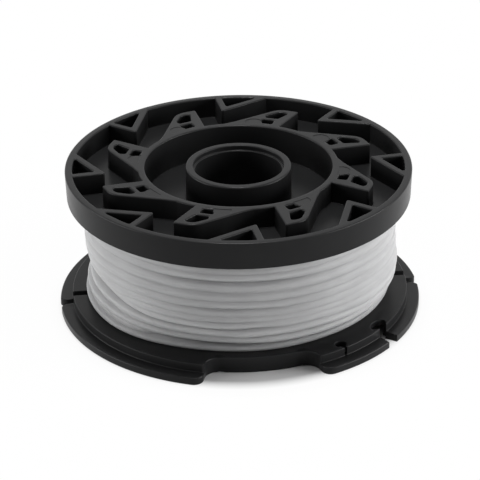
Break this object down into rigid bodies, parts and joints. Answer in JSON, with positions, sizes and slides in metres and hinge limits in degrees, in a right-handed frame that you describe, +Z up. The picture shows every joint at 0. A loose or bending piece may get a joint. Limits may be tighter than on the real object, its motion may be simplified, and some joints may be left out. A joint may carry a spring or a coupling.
{
  "type": "trimmer line spool",
  "caption": "Grass trimmer spool wound with clear cutting line: drum between a toothed ratchet flange and a stepped lower flange with line slots and finger recesses.",
  "frame": {"origin": "on the bore's axis, at the lower face of the lower flange", "axes": "+Z up along the bore to the toothed flange; -Y towards the side the picture shows; +X to its right"},
  "size_m": [0.0844, 0.0818, 0.0349],
  "materials": {
    "spool_plastic": "satin black moulding with a fine grain",
    "cutting_line": "milky, translucent nylon"
  },
  "bodies": {
    "root": {"spool_body": "spool_plastic", "line_winding": "cutting_line"}
  },
  "joints": []
}
